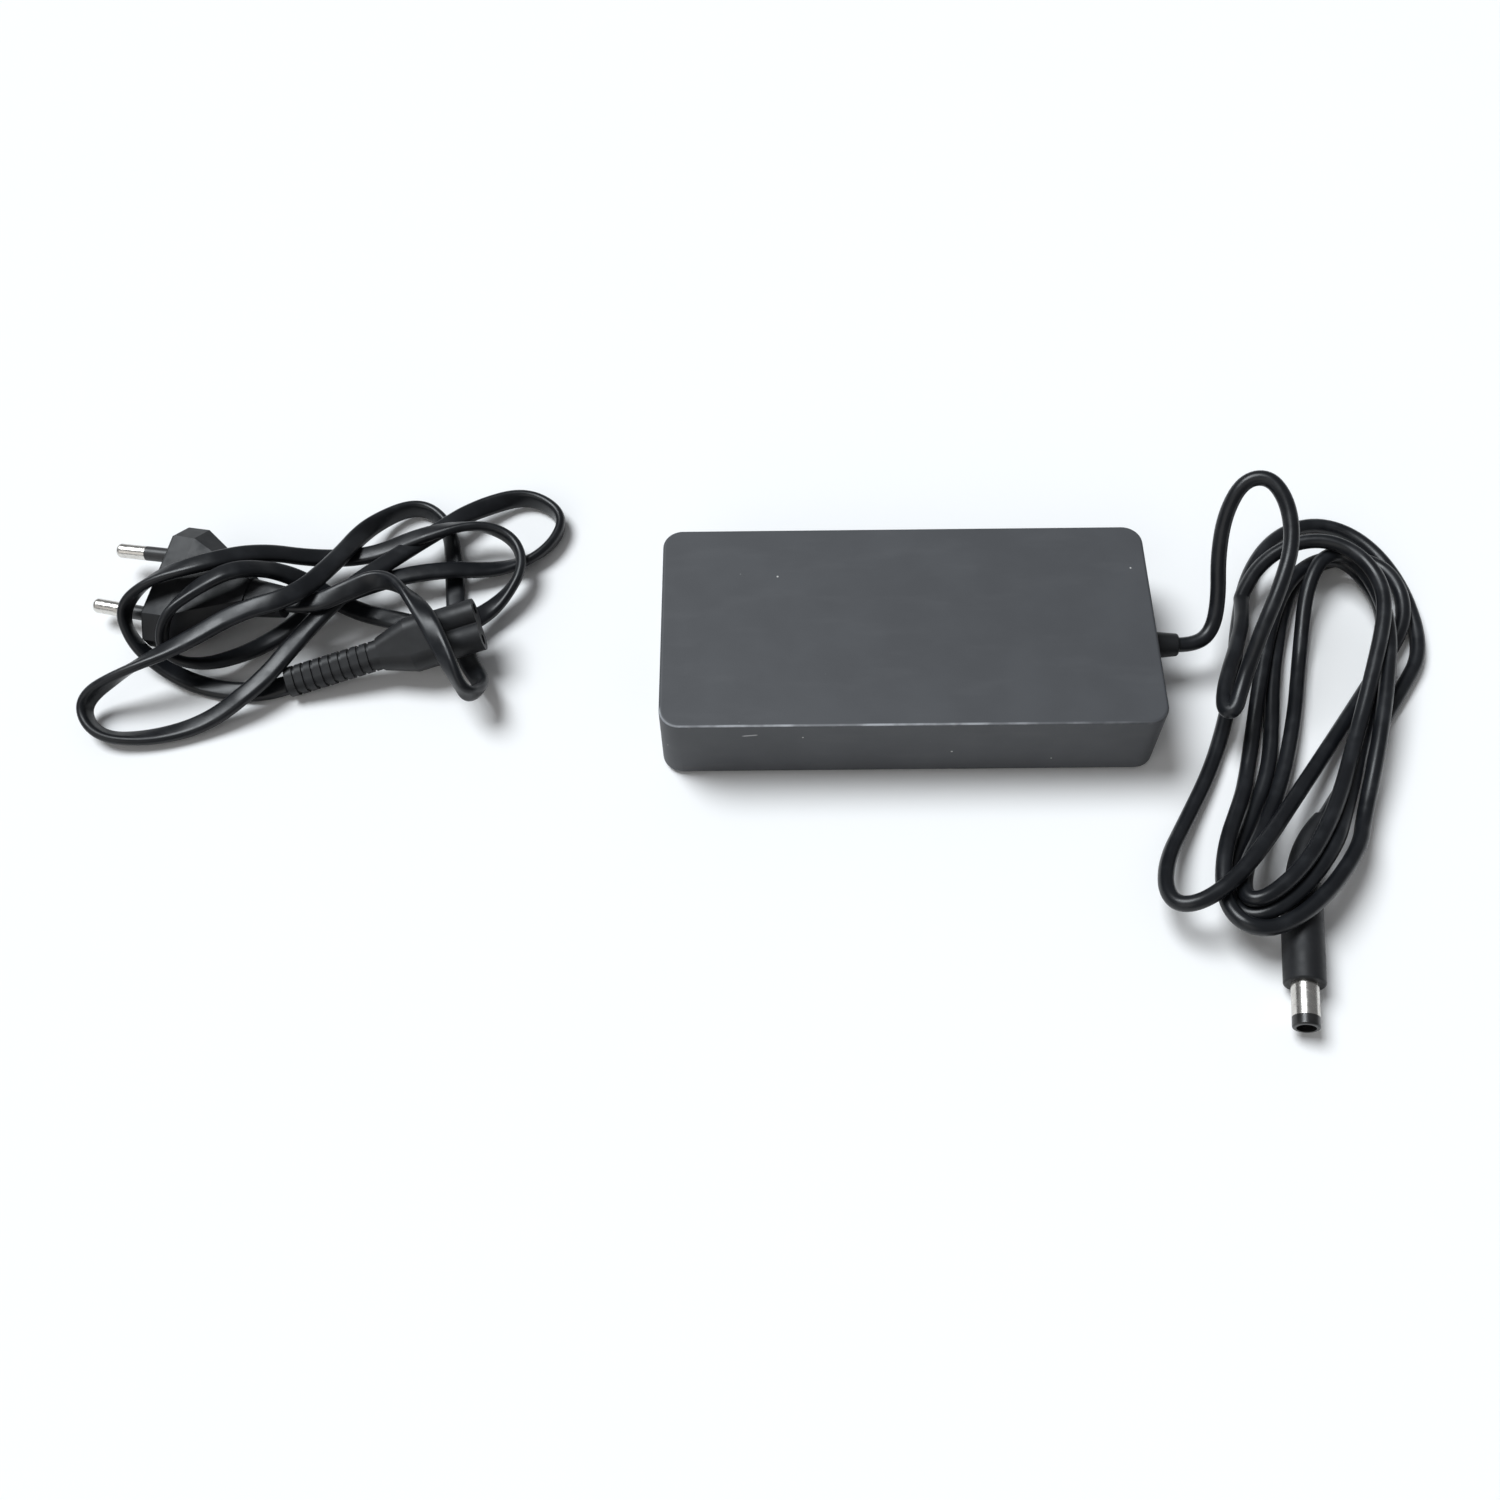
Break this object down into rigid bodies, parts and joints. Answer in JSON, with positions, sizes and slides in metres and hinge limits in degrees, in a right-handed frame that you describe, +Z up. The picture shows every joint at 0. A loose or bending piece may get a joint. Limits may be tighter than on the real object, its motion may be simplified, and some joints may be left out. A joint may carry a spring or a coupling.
{
  "type": "laptop power adapter",
  "caption": "Slim rectangular power brick with a captive round low-voltage lead ending in a barrel plug, and a separate flat mains lead with a figure-8 connector and a flat mains plug.",
  "frame": {"origin": "centre of the brick's footprint on the surface it stands on", "axes": "+X along the brick towards the low-voltage lead, +Y across it, +Z up"},
  "size_m": [0.3621, 0.1648, 0.0441],
  "materials": {
    "housing": "fine spark-eroded texture, matte",
    "base_plastic": "moulded matte",
    "rubber": "matt rubber",
    "label": "satin blank film",
    "inlet_plastic": "moulded matte",
    "plated_pin": "bright nickel plate",
    "wire_insulation": "glossy wire insulation",
    "fibre_sheet": "matt fibre",
    "board_laminate": "solder-masked laminate",
    "aluminium": "rolled sheet",
    "ceramic": "glazed ceramic",
    "film_box": "moulded box",
    "disc_coating": "dipped coating",
    "ferrite": "sintered ferrite",
    "enamelled_copper": "enamelled copper wire",
    "epoxy": "moulded epoxy",
    "can_sleeve": "shrink sleeve",
    "bobbin_plastic": "moulded",
    "lead_jacket": "smooth soft cable jacket",
    "grip_plastic": "soft moulded grip",
    "tip_plastic": "smooth black",
    "contact_metal": "spring contact",
    "sleeve_plastic": "hard sleeve"
  },
  "bodies": {
    "brick": {"housing_shell": "housing", "base_plate": "base_plastic", "rubber_feet": "rubber", "rating_label": "label", "inlet_block": "inlet_plastic", "inlet_pins": "plated_pin", "inlet_wires": "wire_insulation", "insulation_sheet": "fibre_sheet", "circuit_board": "board_laminate", "heat_spreader": "aluminium", "fuse": "ceramic", "line_filter_capacitor": "film_box", "safety_capacitors": "disc_coating", "line_choke_core": "ferrite", "line_choke_winding": "enamelled_copper", "bridge_rectifier": "epoxy", "bulk_capacitor": "can_sleeve", "primary_heat_sink": "aluminium", "switching_transistor": "epoxy", "transformer_core": "ferrite", "transformer_bobbin": "bobbin_plastic", "transformer_winding": "enamelled_copper", "secondary_heat_sink": "aluminium", "output_rectifier": "epoxy", "output_capacitors": "can_sleeve", "output_choke_core": "ferrite", "output_choke_winding": "enamelled_copper", "optocoupler": "epoxy", "controller_chip": "epoxy", "output_wires": "wire_insulation", "lead_relief": "grip_plastic", "lead_arch": "lead_jacket", "lead_bundle": "lead_jacket", "barrel_plug_relief": "grip_plastic", "barrel_plug_body": "grip_plastic", "barrel_plug_barrel": "plated_pin", "barrel_plug_tip_ring": "tip_plastic", "barrel_plug_centre_pin": "plated_pin"},
    "mains_lead_set": {"connector_body": "grip_plastic", "connector_contacts": "contact_metal", "connector_relief": "grip_plastic", "mains_lead": "lead_jacket", "mains_plug_body": "grip_plastic", "mains_plug_tail": "grip_plastic", "mains_plug_pins": "plated_pin", "mains_plug_sleeves": "sleeve_plastic"}
  },
  "joints": [
    {"name": "mains_lead_slide", "type": "slide", "parent": "brick", "child": "mains_lead_set", "axis": [-1, 0, 0], "range_m": [0, 0.12]}
  ]
}
